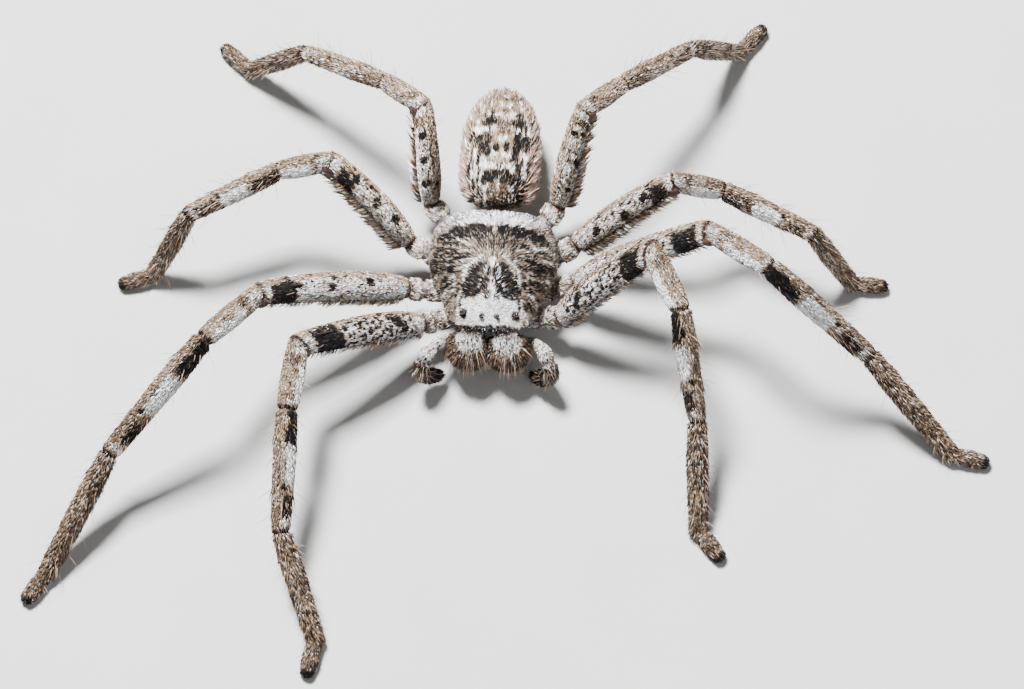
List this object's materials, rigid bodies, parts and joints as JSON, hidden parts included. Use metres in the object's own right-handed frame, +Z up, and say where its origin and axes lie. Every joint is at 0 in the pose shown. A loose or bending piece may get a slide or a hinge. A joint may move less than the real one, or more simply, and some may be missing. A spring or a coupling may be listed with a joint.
{
  "type": "huntsman spider model",
  "caption": "Life-size huntsman spider at rest on spread legs, with head shield, abdomen, jaws, palps and eyes as separate solids.",
  "frame": {"origin": "on the floor, under the middle of the model's bounding box", "axes": "+Z up, -Y the way the head points, +X the spider's left; the leg span is longest along X"},
  "size_m": [0.1165, 0.092, 0.0236],
  "materials": {
    "coat_pale": "short dense hair, pale grey-cream with black spots",
    "coat_tan": "short dense hair, tan and grey-brown",
    "coat_dark": "short dense hair, dark brown",
    "bare_skin": "satin reddish-brown cuticle with pale hair",
    "horn": "glossy black-brown horn",
    "eye": "wet glossy black"
  },
  "bodies": {
    "root": {"abdomen": "coat_pale", "carapace": "coat_pale", "chelicera_left": "coat_tan", "chelicera_right": "coat_tan", "eye_left_front_mid": "eye", "eye_left_front_side": "eye", "eye_left_rear_mid": "eye", "eye_left_rear_side": "eye", "eye_right_front_mid": "eye", "eye_right_front_side": "eye", "eye_right_rear_mid": "eye", "eye_right_rear_side": "eye", "fang_left": "horn", "fang_right": "horn", "leg_left_1_coxa": "bare_skin", "leg_left_1_femur": "coat_pale", "leg_left_1_foot": "coat_dark", "leg_left_1_patella": "coat_tan", "leg_left_1_tibia": "coat_tan", "leg_left_2_coxa": "bare_skin", "leg_left_2_femur": "coat_pale", "leg_left_2_foot": "coat_dark", "leg_left_2_patella": "coat_tan", "leg_left_2_tibia": "coat_tan", "leg_left_3_coxa": "bare_skin", "leg_left_3_femur": "coat_pale", "leg_left_3_foot": "coat_dark", "leg_left_3_patella": "coat_tan", "leg_left_3_tibia": "coat_tan", "leg_left_4_coxa": "bare_skin", "leg_left_4_femur": "coat_pale", "leg_left_4_foot": "coat_dark", "leg_left_4_patella": "coat_tan", "leg_left_4_tibia": "coat_tan", "leg_right_1_coxa": "bare_skin", "leg_right_1_femur": "coat_pale", "leg_right_1_foot": "coat_dark", "leg_right_1_patella": "coat_tan", "leg_right_1_tibia": "coat_tan", "leg_right_2_coxa": "bare_skin", "leg_right_2_femur": "coat_pale", "leg_right_2_foot": "coat_dark", "leg_right_2_patella": "coat_tan", "leg_right_2_tibia": "coat_tan", "leg_right_3_coxa": "bare_skin", "leg_right_3_femur": "coat_pale", "leg_right_3_foot": "coat_dark", "leg_right_3_patella": "coat_tan", "leg_right_3_tibia": "coat_tan", "leg_right_4_coxa": "bare_skin", "leg_right_4_femur": "coat_pale", "leg_right_4_foot": "coat_dark", "leg_right_4_patella": "coat_tan", "leg_right_4_tibia": "coat_tan", "palp_left_lower": "coat_dark", "palp_left_upper": "coat_pale", "palp_right_lower": "coat_dark", "palp_right_upper": "coat_pale", "spinnerets": "coat_tan", "sternum": "coat_dark"}
  },
  "joints": []
}
